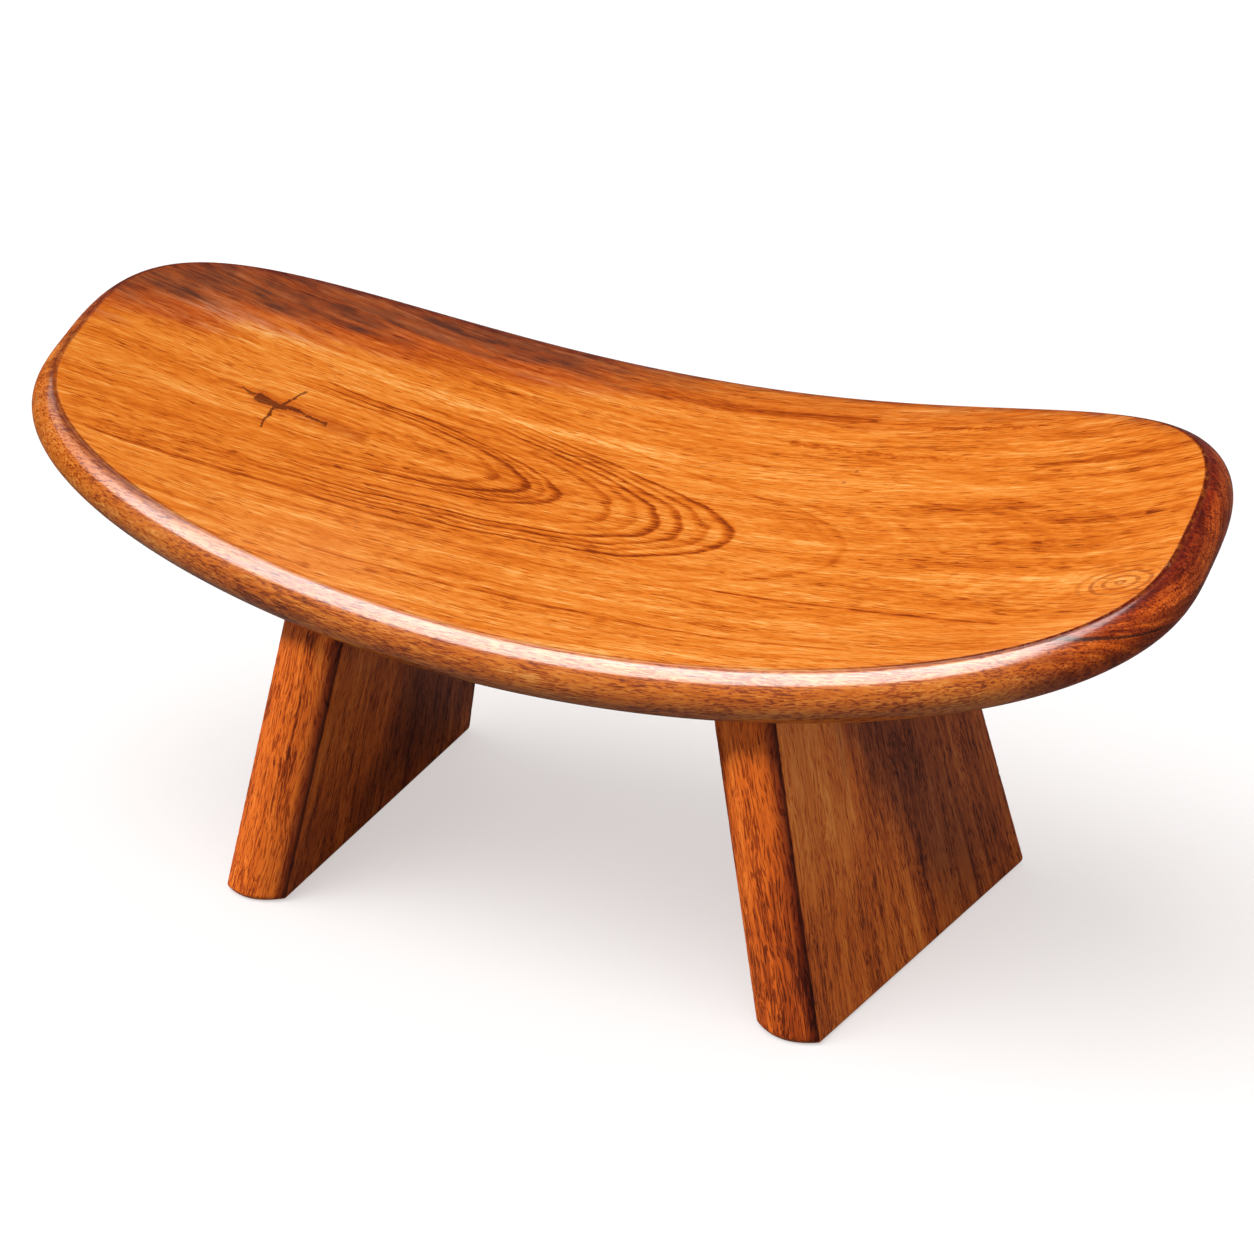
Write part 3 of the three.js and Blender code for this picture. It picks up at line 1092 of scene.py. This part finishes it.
def pin_profile(diameter, length):
    radius, half = diameter / 2, length / 2
    corner = radius - dowel_chamfer
    return [(0, 0, -half), (corner, 0, -half), (radius, 0, dowel_chamfer - half),
            (radius, 0, half - dowel_chamfer), (corner, 0, half), (0, 0, half)]


def pin(name, diameter, length, flutes_depth, material):
    made = profile_object(name, pin_profile(diameter, length))
    turned = made.modifiers.new("turned", "NODES")
    turned.node_group = dowel_tree
    sizes = {"Steps": dowel_steps, "Flute depth": flutes_depth}
    modifier_inputs(turned, Material=material, **sizes)
    return as_plain_mesh(made, name)


def dowel_places(side):
    """The middle and lean of each of a leg's dowels, front to back."""
    stands = leg_frame(side)
    lean = Matrix.Rotation(-side * leg_splay, 4, "Y")
    top_middle = (math.tan(front_lean) - math.tan(back_lean)) * seat_height / 2
    for index in (-1, 0, 1):
        joint = Vector((0, top_middle + index * dowel_pitch, seat_height))
        for _ in range(6):  # closer to the seat's underside with each try
            joint.x = -side * joint.z * math.tan(leg_splay)
            on_floor = stands @ joint
            joint.z = saddle(on_floor.x, on_floor.y) - seat_thickness
        middle = joint + lean.to_3x3() @ Vector((0, 0, dowel_in_seat - dowel_length / 2))
        yield stands @ Matrix.Translation(middle) @ lean


def dowel_paint():
    material, tree, shader = new_shader("dowel wood")
    grain = in_group(wood_grain, {"Place": named_place(tree, "board")}, Pore_share=0.2)
    tone = plus(0.5, swing(grain["Streaks"], 0.2), swing(grain["Fibres"], 0.2))
    tone = less(tone, times(grain["Pores"], 0.3))
    link(tone_ramp(tone, dowel_shades), shader["Base Color"])
    shader["Roughness"].default_value = 0.7
    bumped(grain["Fibres"], 0.4, shader)
    return material


def bored(piece, holes):
    """The piece with all the holes cut into it."""
    cut = piece.modifiers.new("holes", "BOOLEAN")
    cut.operand_type = "COLLECTION"
    cut.collection = holes
    cut.operation = "DIFFERENCE"
    cut.solver = "MANIFOLD"
    return as_plain_mesh(piece, piece.name)


dowel_tree = dowel_group()
dowel_wood = dowel_paint()
holes = bpy.data.collections.new("holes")
for side, side_name in ((1, "right"), (-1, "left")):
    for place_name, stands in zip(("front", "middle", "back"), dowel_places(side)):
        name = f"fluted_dowel_{side_name}_{place_name}"
        dowel = pin(name, dowel_diameter, dowel_length, flute_depth, dowel_wood)
        dowel.data.transform(stands)
        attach(dowel, "root")
        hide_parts(f"dowel_{side_name}_{place_name}")
        hole = pin("hole", hole_diameter, hole_length, 0.0, dowel_wood)
        hole.data.transform(stands)
        holes.objects.link(hole)

# The seat and the legs are bored for the dowels.
seat = bored(seat, holes)
for side_name in legs:
    legs[side_name] = bored(legs[side_name], holes)
for hole in list(holes.objects):
    bpy.data.objects.remove(hole)
bpy.data.collections.remove(holes)

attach(seat, "root")
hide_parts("seat")
for side_name, panel in legs.items():
    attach(panel, "root")
    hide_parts(f"leg_{side_name}")

# The room: a plain pale floor and backdrop, washed out to white for the camera. A soft key from
# the upper left lights the stool, a wider one draws its shadow on the floor, and a long softbox
# above the left end is there for the polish to mirror.
floor_bounce, floor_seen, floor_mirrored = 0.25, 0.44, 0.12
floor_glow = 0.54
fill_even, fill_from_right, fill_from_front = 0.58, 0.30, -0.36
fill_mirrored, backdrop_seen = 0.12, 1.0
floor = mesh_object("floor", [(-6, -6, 0), (6, -6, 0), (6, 6, 0), (-6, 6, 0)], [(0, 1, 2, 3)])
floor_paint, floor_tree, floor_shader = new_shader("floor")
rays = node(floor_tree, "ShaderNodeLightPath").outputs
floor_shade = mix(rays["Is Camera Ray"], (floor_bounce,) * 3, (floor_seen,) * 3)
floor_shade = mix(rays["Is Glossy Ray"], floor_shade, (floor_mirrored,) * 3)
link(floor_shade, floor_shader["Base Color"])
floor_shader["Emission Color"].default_value = (1.0, 0.94, 0.92, 1.0)
glow = times(rays["Is Camera Ray"], floor_glow)
link(glow, floor_shader["Emission Strength"])
floor_shader["Roughness"].default_value = 0.9
floor_shader["Specular IOR Level"].default_value = 0.0
floor.data.materials.append(floor_paint)

camera_azimuth = math.radians(27.49)
camera_height = math.radians(23.86)
camera_distance = 1.2978
aim = Vector((0.0, 0.02285, 0.1))
back = Vector((
    math.sin(camera_azimuth) * math.cos(camera_height),
    -math.cos(camera_azimuth) * math.cos(camera_height),
    math.sin(camera_height),
))


def turned_to(name, data, direction):
    """A camera or a lamp that faces that way."""
    made = in_scene(name, data)
    made.rotation_mode = "QUATERNION"
    made.rotation_quaternion = Vector(direction).to_track_quat("-Z", "Y")
    return made


camera = turned_to("camera", bpy.data.cameras.new("camera"), -back)
camera.location = aim + back * camera_distance
camera.data.lens = 96.36
camera.data.sensor_width = 36
camera.data.shift_x = -0.01277
camera.data.shift_y = -0.00857
bpy.context.scene.camera = camera
bpy.context.scene.view_settings.view_transform = "Standard"

world = bpy.data.worlds.new("room")
bpy.context.scene.world = world
world.use_nodes = True
world_tree = world.node_tree
background = world_tree.nodes["Background"]
world_rays = node(world_tree, "ShaderNodeLightPath").outputs
background.inputs["Color"].default_value = (1, 1, 1, 1)
direction = node(world_tree, "ShaderNodeTexCoord").outputs["Generated"]
toward_x, toward_y, _ = parts_of(direction)
right = value("MAXIMUM", toward_x, 0.0)
front = value("MAXIMUM", times(toward_y, -1.0), 0.0)
fill = plus(fill_even, times(right, fill_from_right), times(front, fill_from_front))
fill = mix_value(world_rays["Is Glossy Ray"], fill, fill_mirrored)
fill = mix_value(world_rays["Is Camera Ray"], fill, backdrop_seen)
link(fill, background.inputs["Strength"])

floor_only = bpy.data.collections.new("floor only")
stool_only = bpy.data.collections.new("stool only")
floor_only.objects.link(floor)
for piece in (seat, *legs.values()):
    stool_only.objects.link(piece)
for name, spread, energy, shines, lit in (
    ("floor key", 60, 2.6, (0.25, 0.40, -0.88), floor_only),
    ("stool key", 13, 2.95, (0.38, 0.44, -0.81), stool_only),
):
    key = turned_to(name, bpy.data.lights.new(name, "SUN"), shines)
    key.data.energy = energy
    key.data.angle = math.radians(spread)
    key.visible_glossy = False
    key.light_linking.receiver_collection = lit
softbox = turned_to("softbox", bpy.data.lights.new("softbox", "AREA"), (0.87, 0.05, -1.52))
softbox.data.shape = "RECTANGLE"
softbox.data.size = 1.60
softbox.data.size_y = 0.50
softbox.data.energy = 27
softbox.location = (-0.90, -0.06, 1.65)
softbox.visible_diffuse = False
